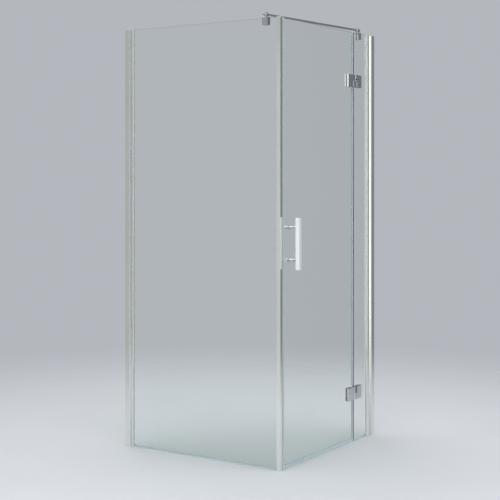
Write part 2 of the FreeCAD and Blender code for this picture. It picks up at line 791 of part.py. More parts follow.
def handle_posts():
    """Posts with the studs that go through the glass, turned in one piece."""
    body = new_body("handle_posts", ("handle_x", "-half_glass", "low_post"), OUTWARDS)
    stud_end = "-glass_thick - stud_inner"
    post = turned(body,
                  ("0", stud_end), ("stud_dia / 2", stud_end), ("stud_dia / 2", "0"),
                  ("post_dia / 2", "0"), ("post_dia / 2", "post_long"), ("0", "post_long"))
    repeat(body, post, "Y", "post_spacing", "2")


def stud_cap(label, height, *outside):
    """A turned cap on a stud inside the shower, from its outside points."""
    body = new_body(label, ("handle_x", "half_glass", height), INWARDS, grouped=True)
    bore = "stud_dia / 2 + fit_gap"
    turned(body, ("0", "stud_inner + fit_gap"), (bore, "stud_inner + fit_gap"),
           (bore, "0"), *outside)
    return body


def inner_knob():
    neck = "knob_base + waist_long"
    return stud_cap("inner_knob", "high_post",
                    ("knob_dia / 2", "0"), ("knob_dia / 2", "knob_base"),
                    ("knob_waist / 2", "knob_base"), ("knob_waist / 2", neck),
                    ("knob_dia / 2", neck), ("knob_dia / 2", "knob_long"),
                    ("0", "knob_long"))


def inner_cap():
    return stud_cap("inner_cap", "low_post",
                    ("inner_cap_dia / 2", "0"), ("inner_cap_dia / 2", "inner_cap_long"),
                    ("0", "inner_cap_long"))


# ---------------------------------------------------------------- the stabiliser
class Clamp:
    """A clamp on the top edge of a fixed pane; its x runs along the pane."""

    def __init__(self, name, at, turn):
        self.name = name
        self.at = at
        self.turn = turn

    def body(self, part, height):
        return new_body(f"{part}_{self.name}", (*self.at, height), self.turn, grouped=True)


CLAMPS = (Clamp("inline", ("clamp_at_inline", "0"), NO_TURN),
          Clamp("side", ("0", "clamp_at_side"), QUARTER))


def along_bar(label, at, grouped=False):
    """A body whose X runs along the bar, away from the side pane."""
    body = new_body(label, (*at, "bar_high"), grouped=grouped)
    body.setExpression("Placement.Rotation.Angle", formula("bar_turn"))
    return body


def stabiliser_bar():
    body = along_bar("stabiliser_bar", CLAMPS[1].at)
    pad(body, circles(body, "YZ", "round", ("0", "0", "bar_dia")),
        "bar_span + 2 * bar_over", start="-bar_over")
    ease(body, "Chamfer", "bar_edge", lies_at("x", "-bar_over", "bar_span + bar_over"))


def bar_holder(clamp):
    """Collar around the bar on a neck that stands on its clamp."""
    body = along_bar(f"bar_holder_{clamp.name}", clamp.at, grouped=True)
    collar = circles(body, "YZ", "collar", ("0", "0", "collar_dia"))
    pad(body, collar, "collar_long", middle=True)
    neck = circles(body, "XY", "neck", ("0", "0", "neck_dia"))
    pad(body, neck, "neck_long", start="-neck_long")
    bore = circles(body, "YZ", "bore", ("0", "0", "bar_dia + 2 * fit_gap"))
    cut(body, bore, "2 * collar_long", middle=True)
    return body


def bar_clamp(clamp):
    """Block with two jaws over the top edge of the glass."""
    body = clamp.body("bar_clamp", "pane_top")
    saddle = outline(body, "YZ", "saddle", [
        ("-jaw_outer", "-clamp_drop"), ("-jaw_inner", "-clamp_drop"),
        ("-jaw_inner", "clamp_seat_gap"), ("jaw_inner", "clamp_seat_gap"),
        ("jaw_inner", "-clamp_drop"), ("jaw_outer", "-clamp_drop"),
        ("jaw_outer", "clamp_bridge"), ("-jaw_outer", "clamp_bridge")])
    pad(body, saddle, "clamp_long", middle=True)
    ease(body, "Chamfer", "clamp_edge", lies_at("y", "jaw_outer", "-jaw_outer"))
    return body


def clamp_pads(clamp):
    body = clamp.body("clamp_pads", "pane_top - grip_pad_drop")
    sheets = [box_loop("-clamp_long / 2 + clamp_edge", f"{sign}half_glass",
                       "clamp_long / 2 - clamp_edge", f"{sign}jaw_inner")
              for sign in ("", "-")]
    pad(body, outline(body, "XY", "sheets", *sheets), "grip_pad_high", middle=True)
    return body


# ---------------------------------------------------------------- the whole enclosure
for run in RUNS:
    wall_channel(run)
    glazing_profile(run)
    glazing_gaskets(run)
    channel_cap(run)
panes()
seat_seals()
corner_profile()
corner_ends()
corner_gaskets()
strike_seal()
closing_seal()
hinge_side_seals()
bottom_seal()

for hinge in HINGES:
    for leaf in LEAVES:
        hinge_leaf(hinge, leaf)
        hinge_backplate(hinge, leaf)
        hinge_pads(hinge, leaf)
group("hinge_pins", [hinge_pin(hinge) for hinge in HINGES])
group("hinge_bushes", [hinge_bush(hinge) for hinge in HINGES])

handle_bar()
handle_posts()
group("handle_inner_caps", [inner_knob(), inner_cap()])

stabiliser_bar()
group("bar_clamps", [bar_clamp(clamp) for clamp in CLAMPS])
group("bar_holders", [bar_holder(clamp) for clamp in CLAMPS])
group("clamp_pads", [clamp_pads(clamp) for clamp in CLAMPS])

# ---------------------------------------------------------------- checks and files
doc.recompute()
for thing in doc.Objects:
    if {"Invalid", "Error"} & set(thing.State):
        raise RuntimeError(f"{thing.Label} did not build: {thing.State}")

os.makedirs("parts", exist_ok=True)
for piece in pieces:
    if piece.Shape.isNull() or not piece.Shape.isValid():
        raise RuntimeError(f"{piece.Label} has no valid shape")
    piece.Shape.exportStep(f"parts/{piece.Label}.step")
print(len(pieces), "pieces")
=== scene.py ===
"""Finishes and small fasteners of a frameless corner shower enclosure, in a plain studio.

The enclosure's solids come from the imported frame.  This script gives each of them
its finish, adds the small fasteners that are too fine for the solids, and sets up
floor, lights and camera.  Everything is in metres, in the frame's own axes.
"""

import math

import bmesh
import bpy
from bpy.props import FloatProperty, FloatVectorProperty, IntProperty, PointerProperty
from bpy.types import Operator, Panel, PropertyGroup
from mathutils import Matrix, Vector


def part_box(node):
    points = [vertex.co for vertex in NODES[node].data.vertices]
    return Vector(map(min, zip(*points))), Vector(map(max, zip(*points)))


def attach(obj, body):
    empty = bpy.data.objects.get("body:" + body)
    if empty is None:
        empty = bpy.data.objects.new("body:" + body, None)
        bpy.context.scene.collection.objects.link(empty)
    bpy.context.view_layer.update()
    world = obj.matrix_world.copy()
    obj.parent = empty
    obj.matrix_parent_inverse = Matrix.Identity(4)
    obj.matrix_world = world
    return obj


bl_info = {
    "name": "Shower enclosure finishes",
    "version": (1, 0, 0),
    "blender": (4, 5, 0),
    "location": "View3D > Sidebar > Enclosure",
    "description": "Finishes, small fasteners and studio for a glass shower enclosure",
    "category": "Object",
}

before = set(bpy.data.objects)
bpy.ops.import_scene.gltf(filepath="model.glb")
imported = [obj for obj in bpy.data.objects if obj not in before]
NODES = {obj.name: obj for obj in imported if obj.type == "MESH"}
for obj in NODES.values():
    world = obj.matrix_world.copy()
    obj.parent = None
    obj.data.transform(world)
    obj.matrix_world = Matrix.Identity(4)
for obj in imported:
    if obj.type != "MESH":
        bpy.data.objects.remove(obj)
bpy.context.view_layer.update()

MM = 0.001
FIXED = "fixed_frame"
DOOR = "door_leaf"
HINGES = ("lower_hinge", "upper_hinge")

# Turns that point a fastener's own +Z another way.
TO_PLUS_Y = (-math.pi / 2, 0, 0)
TO_MINUS_Y = (math.pi / 2, 0, 0)
TO_PLUS_X = (0, math.pi / 2, 0)
TO_MINUS_Z = (math.pi, 0, 0)

# Edges that turn by less than the first are shaded smooth; soften() rounds edges that
# turn by more than the second.
SMOOTH_UNDER = math.radians(35)
ROUND_OVER = math.radians(40)

# A face looks up when the z of its normal is more than this.
LOOKS_UP = 0.9

# The values between which a noise pattern mostly lies.
NOISE_LOW = 0.3
NOISE_HIGH = 0.7


def linear(code):
    """An sRGB hex value as linear red, green and blue."""
    parts = [int(code[i:i + 2], 16) / 255 for i in (1, 3, 5)]
    return tuple(p / 12.92 if p <= 0.04045 else ((p + 0.055) / 1.055) ** 2.4 for p in parts)


# ---------------------------------------------------------------- sizes and colours
def length_property(name, description, size):
    return FloatProperty(name=name, description=description, default=size, unit="LENGTH")


def angle_property(name, description, degrees):
    return FloatProperty(name=name, description=description,
                         default=math.radians(degrees), subtype="ANGLE")


def colour_property(name, description, code):
    return FloatVectorProperty(name=name, description=description, size=3,
                               subtype="COLOR", default=linear(code), min=0, max=1)


class FastenerSizes(PropertyGroup):
    """Sizes of the fasteners and small fittings that this script adds."""

    hinge_screw: length_property(
        "Hinge screw head", "Diameter of the button heads on the hinges", 11 * MM)
    hinge_screw_rise: length_property(
        "Hinge screw rise", "Height of those heads over the back plate", 2.4 * MM)
    hinge_screw_socket: length_property(
        "Hinge screw socket", "Hex socket of those heads, across its corners", 4.6 * MM)
    hinge_screw_spread: length_property(
        "Hinge screw spread", "Screw to the middle of its hinge", 17 * MM)
    cover: length_property(
        "Screw cover", "Diameter of the covers on the wall channels", 12 * MM)
    cover_rise: length_property(
        "Screw cover rise", "Height of those covers over the channel", 1.8 * MM)
    cover_end: length_property(
        "Cover to end", "Lowest and highest cover to the channel's ends", 150 * MM)
    cover_count: IntProperty(
        name="Screw covers", description="Covers on each wall channel", default=3, min=2)
    washer_rim: length_property(
        "Washer rim", "How far a washer shows round its post or knob", 1.6 * MM)
    washer_thick: length_property(
        "Washer thickness", "Thickness of the washers on the glass", 1 * MM)
    washer_play: length_property(
        "Washer play", "How much wider a washer's bore is than what it fits", 0.1 * MM)
    headless_rise: length_property(
        "Headless screw rise", "How far a headless screw stands proud", 0.6 * MM)
    handle_screw: length_property(
        "Handle screw", "Diameter of the headless screws under the handle's posts", 3.5 * MM)
    handle_screw_socket: length_property(
        "Handle screw socket", "Hex socket of those screws, across its corners", 1.75 * MM)
    handle_screw_back: length_property(
        "Handle screw place", "Back of the handle bar to the middle of those screws", 7 * MM)
    clamp_screw: length_property(
        "Clamp screw", "Diameter of the headless screws of the stabiliser's clamps", 5 * MM)
    clamp_screw_socket: length_property(
        "Clamp screw socket", "Hex socket of those screws, across its corners", 3 * MM)
    clamp_face: length_property(
        "Clamp face", "Middle of the glass to the clamps' face in the shower", 14 * MM)
    clamp_length: length_property(
        "Clamp length", "Length of each clamp along its pane", 29 * MM)


class FinishColours(PropertyGroup):
    """Colours of the enclosure's finishes."""

    glass_body: colour_property(
        "Glass body", "What a long path through the glass leaves", "#95DEC0")
    glass_shade: colour_property(
        "Glass shade", "Light that a pane lets through onto the floor", "#E4ECE8")
    aluminium: colour_property("Aluminium", "Anodised profiles", "#EDEFEA")
    chrome: colour_property("Chrome", "Polished chrome plate", "#CCCED0")
    silver: colour_property("Silver lacquer", "Handle bar", "#E9F0F2")
    steel: colour_property("Steel", "Hinge pins and headless screws", "#B4B3B1")
    clear_strip: colour_property("Clear strip", "Clear sealing strips", "#E4ECEF")
    magnet: colour_property("Magnet strip", "Flexible magnets", "#D2D4D3")
    gasket: colour_property("Gasket", "Wedge gaskets of the profiles", "#F1F3F2")
    rubber: colour_property("Rubber", "Pads under plates and clamps", "#70757A")
    caps: colour_property("Caps", "Moulded caps and foot", "#B9BCBA")
    acetal: colour_property("Bush", "Hinge bushes", "#E6E5E0")


class StudioSettings(PropertyGroup):
    """Floor, lights and camera."""

    backdrop: colour_property("Backdrop", "Plain background", "#B4B7BD")
    floor: colour_property("Floor", "Plain pale floor", "#B4B7BC")
    lit_side: colour_property("Lit side", "Lit side of the studio", "#B4B6B9")
    dark_side: colour_property("Dark side", "Unlit side of the studio", "#888A8D")
    ceiling: colour_property("Ceiling", "Bright ceiling and cards of the studio", "#FFFFFF")
    glow: FloatProperty(
        name="Glow", description="Brightness of ceiling and cards", default=1.8)
    card_turn: angle_property(
        "Card turn", "Middle of the low bright card, from -X towards +Y", 20.3)
    card_wide: angle_property("Card width", "How wide that card stands", 18.2)
    card_top: angle_property(
        "Card top", "How high that card stands over the horizon", 6.2)
    front_card_turn: angle_property(
        "Front card turn", "Middle of the tall front card, from -X towards +Y", -27.7)
    front_card_wide: angle_property("Front card width", "How wide that card stands", 11)
    camera_place: FloatVectorProperty(
        name="Camera place", description="Where the camera stands", size=3,
        subtype="TRANSLATION", default=(-4.2861, -2.6724, 1.3026))
    camera_turn: angle_property("Camera turn", "From +Y towards +X", 56.556)
    lens: FloatProperty(
        name="Lens", description="Focal length in millimetres", default=82.66)
    camera_rise: FloatProperty(
        name="Camera rise", description="Lens shift as a share of the frame",
        default=-0.1501)


# ---------------------------------------------------------------- shader nodes
def add(tree, kind, sockets=None, **settings):
    """A node with its settings; each socket gets a value or another node's output."""
    node = tree.nodes.new(kind)
    for name, setting in settings.items():
        setattr(node, name, setting)
    for name, source in (sockets or {}).items():
        socket = node.inputs[name]
        if isinstance(source, bpy.types.NodeSocket):
            tree.links.new(source, socket)
        else:
            socket.default_value = source
    return node


def new_material(name):
    """An empty material and its node tree."""
    material = bpy.data.materials.new(name)
    material.use_nodes = True
    material.node_tree.nodes.clear()
    return material, material.node_tree


def rgba(colour):
    return (*colour, 1)


def stretched_noise(tree, spacing, detail=3.0):
    """Noise whose grain is spacing = (x, y, z) metres in the object's own axes."""
    place = add(tree, "ShaderNodeTexCoord").outputs["Object"]
    mapped = add(tree, "ShaderNodeMapping",
                 {"Vector": place, "Scale": tuple(1 / size for size in spacing)})
    return add(tree, "ShaderNodeTexNoise",
               {"Vector": mapped.outputs["Vector"], "Scale": 1.0, "Detail": detail,
                "Roughness": 0.55}).outputs["Fac"]


def patterned(tree, pattern, shade=None, roughness=None, relief=None):
    """The sockets of a surface that follow a pattern.  Shade is (colour, its darkest
    share), roughness is (least, most), and relief is (height in metres, strength)."""
    sockets = {}
    if shade:
        colour, darkest = shade
        ramp = add(tree, "ShaderNodeValToRGB", {"Fac": pattern})
        dark, full = ramp.color_ramp.elements
        dark.position = NOISE_LOW
        dark.color = rgba([part * darkest for part in colour])
        full.position = NOISE_HIGH
        full.color = rgba(colour)
        sockets["Base Color"] = ramp.outputs["Color"]
    if roughness:
        least, most = roughness
        spread = add(tree, "ShaderNodeMapRange", {
            "Value": pattern, "From Min": NOISE_LOW, "From Max": NOISE_HIGH,
            "To Min": least, "To Max": most})
        sockets["Roughness"] = spread.outputs["Result"]
    if relief:
        height, strength = relief
        raised = add(tree, "ShaderNodeBump",
                     {"Height": pattern, "Distance": height, "Strength": strength})
        sockets["Normal"] = raised.outputs["Normal"]
    return sockets


def let_lamps_through(tree, surface, tint):
    """The surface, but lamps shine through it onto what is behind."""
    shadow = add(tree, "ShaderNodeLightPath").outputs["Is Shadow Ray"]
    clear = add(tree, "ShaderNodeBsdfTransparent", {"Color": rgba(tint)})
    return add(tree, "ShaderNodeMixShader",
               {0: shadow, 1: surface, 2: clear.outputs["BSDF"]}).outputs["Shader"]


# ---------------------------------------------------------------- materials
def toughened_float_glass(name, colours):
    """Clear float glass, toughened: colourless through its faces, green through its edges,
    with the faint roller wave of the toughening oven, about 300 mm from crest to crest."""
    material, tree = new_material(name)
    wave = stretched_noise(tree, (900 * MM, 900 * MM, 300 * MM), detail=1.0)
    glass = add(tree, "ShaderNodeBsdfPrincipled", {
        "Base Color": (1, 1, 1, 1), "Roughness": 0.0, "IOR": 1.52,
        "Transmission Weight": 1.0, **patterned(tree, wave, relief=(0.4 * MM, 1.0))})
    body = add(tree, "ShaderNodeVolumeAbsorption",
               {"Color": rgba(colours.glass_body), "Density": 9.0})
    add(tree, "ShaderNodeOutputMaterial", {
        "Surface": let_lamps_through(tree, glass.outputs["BSDF"], colours.glass_shade),
        "Volume": body.outputs["Volume"]})
    return material


def bright_anodised_aluminium(name, colours):
    """Extruded, brightened and clear anodised: a soft metal sheen with long die lines.
    The lines are drawn 3 mm wide, as finer ones would not show."""
    material, tree = new_material(name)
    lines = stretched_noise(tree, (3 * MM, 3 * MM, 15000 * MM))
    clouds = stretched_noise(tree, (250 * MM, 250 * MM, 500 * MM), detail=2.0)
    metal = add(tree, "ShaderNodeBsdfPrincipled", {
        "Metallic": 1.0,
        **patterned(tree, clouds, shade=(colours.aluminium, 0.93)),
        **patterned(tree, lines, roughness=(0.12, 0.17), relief=(0.03 * MM, 0.2))})
    add(tree, "ShaderNodeOutputMaterial", {"Surface": metal.outputs["BSDF"]})
    return material


def polished_chrome_plate(name, colours):
    """Chrome plate on polished brass: mirror bright, with a thin film of dried water."""
    material, tree = new_material(name)
    film = stretched_noise(tree, (18 * MM, 18 * MM, 30 * MM), detail=4.0)
    metal = add(tree, "ShaderNodeBsdfPrincipled", {
        "Metallic": 1.0,
        **patterned(tree, film, shade=(colours.chrome, 0.95), roughness=(0.05, 0.11))})
    add(tree, "ShaderNodeOutputMaterial", {"Surface": metal.outputs["BSDF"]})
    return material


def matt_silver_lacquer(name, colours):
    """Silver lacquer on a square bar: pale and matt, fine flakes under a dull clear coat.
    The flakes are drawn 3 mm wide, as real ones would not show."""
    material, tree = new_material(name)
    flakes = stretched_noise(tree, (3 * MM, 3 * MM, 5 * MM))
    lacquer = add(tree, "ShaderNodeBsdfPrincipled", {
        "Metallic": 0.5, "IOR": 1.5,
        **patterned(tree, flakes, shade=(colours.silver, 0.95), roughness=(0.38, 0.48),
                    relief=(0.03 * MM, 0.3))})
    add(tree, "ShaderNodeOutputMaterial", {"Surface": lacquer.outputs["BSDF"]})
    return material


def ground_stainless_steel(name, colours):
    """Ground stainless steel rod: grey, with fine rings round it."""
    material, tree = new_material(name)
    rings = stretched_noise(tree, (50 * MM, 50 * MM, 0.4 * MM))
    metal = add(tree, "ShaderNodeBsdfPrincipled", {
        "Base Color": rgba(colours.steel), "Metallic": 1.0,
        **patterned(tree, rings, roughness=(0.22, 0.32))})
    add(tree, "ShaderNodeOutputMaterial", {"Surface": metal.outputs["BSDF"]})
    return material


def clear_soft_pvc(name, colours):
    """Extruded soft PVC: clear with a blue cast, slightly milky, its skin drawn out
    along the strip.  The ripples are drawn 4 mm wide, as finer ones would not show."""
    material, tree = new_material(name)
    skin = stretched_noise(tree, (4 * MM, 4 * MM, 60 * MM), detail=2.0)
    strip = add(tree, "ShaderNodeBsdfPrincipled", {
        "Base Color": rgba(colours.clear_strip), "IOR": 1.53, "Transmission Weight": 0.72,
        **patterned(tree, skin, roughness=(0.08, 0.16), relief=(0.1 * MM, 0.4))})
    add(tree, "ShaderNodeOutputMaterial", {
        "Surface": let_lamps_through(tree, strip.outputs["BSDF"], colours.clear_strip)})
    return material


def plain_moulding(name, colours, colour, grain, roughness):
    """Moulded or extruded in one of the colours, with a grain of that size."""
    material, tree = new_material(name)
    spots = stretched_noise(tree, (grain, grain, grain))
    body = add(tree, "ShaderNodeBsdfPrincipled", {
        "IOR": 1.5,
        **patterned(tree, spots, shade=(getattr(colours, colour), 0.9), roughness=roughness,
                    relief=(0.05 * MM, 0.5))})
    add(tree, "ShaderNodeOutputMaterial", {"Surface": body.outputs["BSDF"]})
    return material


# The finish of each material slot: its name, the function that makes it, and what else
# that function is told.
FINISHES = {
    "clear_glass": ("toughened_float_glass", toughened_float_glass),
    "profile_aluminium": ("bright_anodised_aluminium", bright_anodised_aluminium),
    "chrome_fittings": ("polished_chrome_plate", polished_chrome_plate),
    "silver_fittings": ("matt_silver_lacquer", matt_silver_lacquer),
    "pin_steel": ("ground_stainless_steel", ground_stainless_steel),
    "clear_seal": ("clear_soft_pvc", clear_soft_pvc),
    # Ferrite in rubber with a pale skin: dull and even.
    "magnet_strip": ("flexible_magnet", plain_moulding, "magnet", 2 * MM, (0.55, 0.7)),
    # Extruded white TPE: pale, soft and faintly glossy.
    "pale_gasket": ("white_tpe", plain_moulding, "gasket", 3 * MM, (0.35, 0.5)),
    # Sheet EPDM: grey and matt, a little dusty.
    "soft_gasket": ("epdm_rubber", plain_moulding, "rubber", 3 * MM, (0.6, 0.8)),
    # Injection moulded ABS with a fine eroded grain.
    "grey_caps": ("moulded_abs", plain_moulding, "caps", 1.5 * MM, (0.35, 0.5)),
    # Machined acetal: pale, waxy and smooth.
    "hinge_bush": ("machined_acetal", plain_moulding, "acetal", 2 * MM, (0.3, 0.42)),
}


def finish(slot, colours):
    """The material of a slot, made at its first use."""
    name, make, *details = FINISHES[slot]
    return bpy.data.materials.get(name) or make(name, colours, *details)


def dress(nodes, slot, colours):
    """Gives solids of the frame a finish in all their material slots."""
    for name in nodes:
        for place in NODES[name].material_slots:
            place.material = finish(slot, colours)


# ---------------------------------------------------------------- modelling by hand
def nothing_selected():
    if bpy.context.mode != "OBJECT":
        bpy.ops.object.mode_set(mode="OBJECT")
    bpy.ops.object.select_all(action="DESELECT")


def take(*pieces):
    """Selects only these pieces, the first one active."""
    nothing_selected()
    for piece in pieces:
        piece.select_set(True)
    bpy.context.view_layer.objects.active = pieces[0]


def select_top():
    """In edit mode, selects only the faces that look up."""
    bpy.ops.mesh.select_mode(type="FACE")
    bpy.ops.mesh.select_all(action="DESELECT")
    shape = bmesh.from_edit_mesh(bpy.context.object.data)
    for face in shape.faces:
        face.select_set(face.normal.z > LOOKS_UP)
    bmesh.update_edit_mesh(bpy.context.object.data)


def settle(piece):
    """Puts the piece's place and turn into its mesh."""
    take(piece)
    bpy.ops.object.transform_apply(location=True, rotation=True, scale=True)


def round_blank(diameter, tall, sides=32):
    """A short turned blank on z = 0, in edit mode."""
    nothing_selected()
    bpy.ops.mesh.primitive_cylinder_add(
        vertices=sides, radius=diameter / 2, depth=tall, location=(0, 0, tall / 2))
    blank = bpy.context.object
    settle(blank)
    bpy.ops.object.mode_set(mode="EDIT")
    return blank


def hex_socket(piece, across, top, deep):
    """Cuts a hexagonal socket down from the top."""
    nothing_selected()
    bpy.ops.mesh.primitive_cylinder_add(
        vertices=6, radius=across / 2, depth=2 * deep, location=(0, 0, top))
    cutter = bpy.context.object
    take(piece)
    boolean = piece.modifiers.new("Socket", "BOOLEAN")
    boolean.operation = "DIFFERENCE"
    boolean.object = cutter
    bpy.ops.object.modifier_apply(modifier=boolean.name)
    bpy.data.objects.remove(cutter)


def soften(piece, width, segments=2):
    """Rounds the piece's sharp edges."""
    take(piece)
    rounding = piece.modifiers.new("Soft edges", "BEVEL")
    rounding.width = width
    rounding.segments = segments
    rounding.limit_method = "ANGLE"
    rounding.angle_limit = ROUND_OVER
    bpy.ops.object.modifier_apply(modifier=rounding.name)


def button_head(diameter, rise, socket):
    """Low domed screw head with a hex socket."""
    dome = 0.65 * rise
    socket_deep = 0.6 * rise
    head = round_blank(diameter, rise)
    select_top()
    bpy.ops.mesh.bevel(offset=dome, segments=4, affect="EDGES")
    bpy.ops.object.mode_set(mode="OBJECT")
    hex_socket(head, socket, rise, socket_deep)
    return head


def headless_screw(diameter, rise, socket):
    """End of a headless screw that stands a little proud, with its hex socket."""
    chamfer = 0.5 * rise
    socket_deep = 1.2 * rise
    end = round_blank(diameter, 2 * rise, sides=24)
    bpy.ops.transform.translate(value=(0, 0, -rise))
    select_top()
    bpy.ops.mesh.bevel(offset=chamfer, segments=2, affect="EDGES")
    bpy.ops.object.mode_set(mode="OBJECT")
    hex_socket(end, socket, rise, socket_deep)
    return end


def snap_cover(diameter, rise):
    """Flat snap-on cover with a rounded rim and a shallow dished middle."""
    rim = 0.16 * diameter
    dish_deep = 0.25 * rise
    dish_taper = 0.9
    rounding = 0.3 * rise
    cover = round_blank(diameter, rise)
    select_top()
    bpy.ops.mesh.inset(thickness=rim)
    bpy.ops.mesh.extrude_region_move(
        TRANSFORM_OT_translate={"value": (0, 0, -dish_deep)})
    bpy.ops.transform.resize(value=(dish_taper, dish_taper, 1))
    bpy.ops.object.mode_set(mode="OBJECT")
    soften(cover, rounding)
    return cover


def flat_ring(inner, outer, thick, sides=40):
    """Washer that stands on z = 0, its rims rounded."""
    wide = (outer - inner) / 2
    rounding = min(0.2 * thick, 0.3 * wide)
    nothing_selected()
    bpy.ops.mesh.primitive_circle_add(vertices=sides, radius=outer / 2, fill_type="NGON")
    ring = bpy.context.object
    bpy.ops.object.mode_set(mode="EDIT")
    bpy.ops.mesh.select_all(action="SELECT")
    bpy.ops.mesh.inset(thickness=wide)
    bpy.ops.mesh.delete(type="FACE")
    bpy.ops.object.mode_set(mode="OBJECT")
    take(ring)
    wall = ring.modifiers.new("Thickness", "SOLIDIFY")
    wall.thickness = thick
    wall.offset = 1
    bpy.ops.object.modifier_apply(modifier=wall.name)
    soften(ring, rounding)
    return ring


def set_out(master, name, places, body, slot, colours):
    """Copies of a master at (place, turn), joined as one piece on a body.  The master
    itself is removed."""
    copies = []
    for place, turn in places:
        take(master)
        bpy.ops.object.duplicate()
        copy = bpy.context.object
        copy.location = place
        copy.rotation_euler = turn
        settle(copy)
        copies.append(copy)
    take(*copies)
    if len(copies) > 1:
        bpy.ops.object.join()
    piece = bpy.context.object
    piece.name = name
    piece.data.name = name
    piece.data.materials.clear()
    piece.data.materials.append(finish(slot, colours))
    bpy.ops.object.shade_smooth_by_angle(angle=SMOOTH_UNDER)
    bpy.data.objects.remove(master)
    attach(piece, body)


# ---------------------------------------------------------------- the enclosure
class ENCLOSURE_OT_glass(Operator):
    """Finish of the door pane and of the two fixed panes"""

    bl_idname = "enclosure.glass"
    bl_label = "Glass panes"

    def execute(self, context):
        dress(("door_glass", "inline_glass", "side_glass"), "clear_glass",
              context.scene.finish_colours)
        return {"FINISHED"}


class ENCLOSURE_OT_profiles(Operator):
    """Wall channels, glazing profiles and corner post, with their caps and gaskets"""

    bl_idname = "enclosure.profiles"
    bl_label = "Profiles"

    def execute(self, context):
        colours = context.scene.finish_colours
        for run in ("door", "side"):
            dress([f"wall_channel_{run}", f"glazing_profile_{run}"], "profile_aluminium",
                  colours)
            dress([f"channel_cap_{run}"], "grey_caps", colours)
            dress([f"glazing_gaskets_{run}"], "pale_gasket", colours)
        dress(["corner_profile"], "profile_aluminium", colours)
        dress(["corner_cap", "corner_foot"], "grey_caps", colours)
        dress(["corner_gaskets"], "pale_gasket", colours)
        return {"FINISHED"}


class ENCLOSURE_OT_screw_covers(Operator):
    """Snap-on covers over the locking screws, on the shower side of the wall channels"""

    bl_idname = "enclosure.screw_covers"
    bl_label = "Screw covers"

    def execute(self, context):
        sizes = context.scene.fastener_sizes
        colours = context.scene.finish_colours
        for run, along, across, turn in (
                ("door", 0, 1, TO_PLUS_Y), ("side", 1, 0, TO_PLUS_X)):
            low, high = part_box(f"wall_channel_{run}")
            first = low.z + sizes.cover_end
            last = high.z - sizes.cover_end
            places = []
            for number in range(sizes.cover_count):
                place = Vector()
                place[along] = (low[along] + high[along]) / 2
                place[across] = high[across]
                place.z = first + (last - first) * number / (sizes.cover_count - 1)
                places.append((place, turn))
            set_out(snap_cover(sizes.cover, sizes.cover_rise), f"screw_covers_{run}",
                    places, FIXED, "chrome_fittings", colours)
        return {"FINISHED"}


class ENCLOSURE_OT_strips(Operator):
    """Clear sealing strips and the magnets inside them"""

    bl_idname = "enclosure.strips"
    bl_label = "Sealing strips"

    def execute(self, context):
        colours = context.scene.finish_colours
        dress(("strike_seal", "door_closing_seal", "door_bottom_seal", "hinge_side_seals",
               "inline_seat_seal", "side_seat_seal"), "clear_seal", colours)
        dress(("strike_magnet", "door_magnet"), "magnet_strip", colours)
        return {"FINISHED"}


class ENCLOSURE_OT_hinges(Operator):
    """Hinge plates, pads, pins and bushes, and the screw heads on the shower side"""

    bl_idname = "enclosure.hinges"
    bl_label = "Hinges"

    def execute(self, context):
        sizes = context.scene.fastener_sizes
        colours = context.scene.finish_colours
        dress(["hinge_pins"], "pin_steel", colours)
        dress(["hinge_bushes"], "hinge_bush", colours)
        for leaf, body in (("frame", FIXED), ("door", DOOR)):
            places = []
            for hinge in HINGES:
                dress([f"{hinge}_{leaf}_leaf", f"{hinge}_{leaf}_backplate"],
                      "chrome_fittings", colours)
                dress([f"{hinge}_{leaf}_pads"], "soft_gasket", colours)
                low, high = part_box(f"{hinge}_{leaf}_backplate")
                middle = (low + high) / 2
                places += [((middle.x, high.y, middle.z + way * sizes.hinge_screw_spread),
                            TO_PLUS_Y) for way in (-1, 1)]
            head = button_head(sizes.hinge_screw, sizes.hinge_screw_rise,
                               sizes.hinge_screw_socket)
            set_out(head, f"hinge_screw_heads_{leaf}", places, body, "chrome_fittings",
                    colours)
        return {"FINISHED"}


class ENCLOSURE_OT_handle(Operator):
    """Pull handle with its washers on both sides of the door and its headless screws"""

    bl_idname = "enclosure.handle"
    bl_label = "Handle"

    def execute(self, context):
        sizes = context.scene.fastener_sizes
        colours = context.scene.finish_colours
        dress(["handle_bar"], "silver_fittings", colours)
        dress(["handle_posts", "handle_inner_caps"], "chrome_fittings", colours)

        bar_low, bar_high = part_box("handle_bar")
        posts_low, posts_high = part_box("handle_posts")
        caps_low, caps_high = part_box("handle_inner_caps")
        pane_low, pane_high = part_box("door_glass")
        post = posts_high.x - posts_low.x
        cap = caps_high.x - caps_low.x
        middle = (bar_low.x + bar_high.x) / 2
        heights = (posts_low.z + post / 2, posts_high.z - post / 2)

        for side, wide, face, turn in (("outside", post, pane_low.y, TO_MINUS_Y),
                                       ("inside", cap, pane_high.y, TO_PLUS_Y)):
            washer = flat_ring(wide + sizes.washer_play, wide + 2 * sizes.washer_rim,
                               sizes.washer_thick)
            set_out(washer, f"handle_washers_{side}",
                    [((middle, face, height), turn) for height in heights],
                    DOOR, "clear_seal", colours)
        screw = headless_screw(sizes.handle_screw, sizes.headless_rise,
                               sizes.handle_screw_socket)
        behind = bar_high.y + sizes.handle_screw_back
        set_out(screw, "handle_set_screws",
                [((middle, behind, height - post / 2), TO_MINUS_Z) for height in heights],
                DOOR, "pin_steel", colours)
        return {"FINISHED"}


